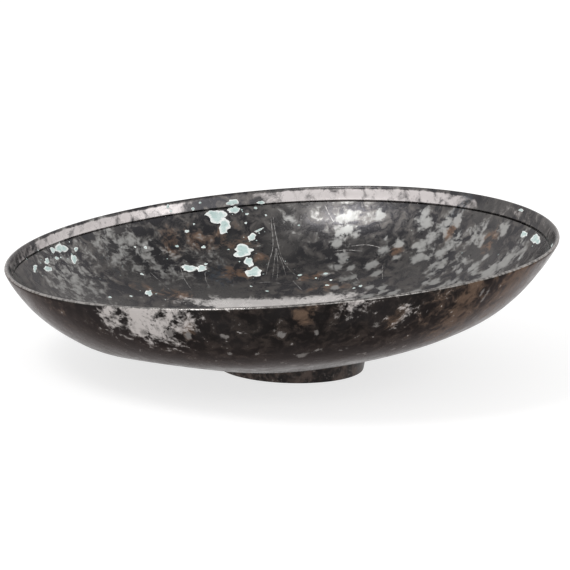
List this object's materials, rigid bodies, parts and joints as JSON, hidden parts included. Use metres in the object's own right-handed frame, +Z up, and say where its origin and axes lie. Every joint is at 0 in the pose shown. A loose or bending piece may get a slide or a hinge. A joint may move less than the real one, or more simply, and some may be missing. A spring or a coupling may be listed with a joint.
{
  "type": "footed bowl",
  "caption": "Shallow round silver bowl on a low ring foot, with a line incised inside its lip, for holding or offering food or drink.",
  "frame": {"origin": "middle of the whole outline seen from above, at the height of the foot's base", "axes": "+Z up; the lip is highest towards +X, and the foot's axis stands 4.3 mm from the origin along +X"},
  "size_m": [0.1992, 0.2, 0.0522],
  "materials": {
    "tarnished_silver": "old silver, black-brown tarnish over pale grey metal, glossy, with engraved lines and spots of green corrosion",
    "dark_silver": "old silver under an even dark brown tarnish, satin",
    "solder": "dull grey solder, darkened, satin"
  },
  "bodies": {
    "root": {"bowl_shell": "tarnished_silver", "foot_ring": "dark_silver", "solder_seam": "solder"}
  },
  "joints": []
}
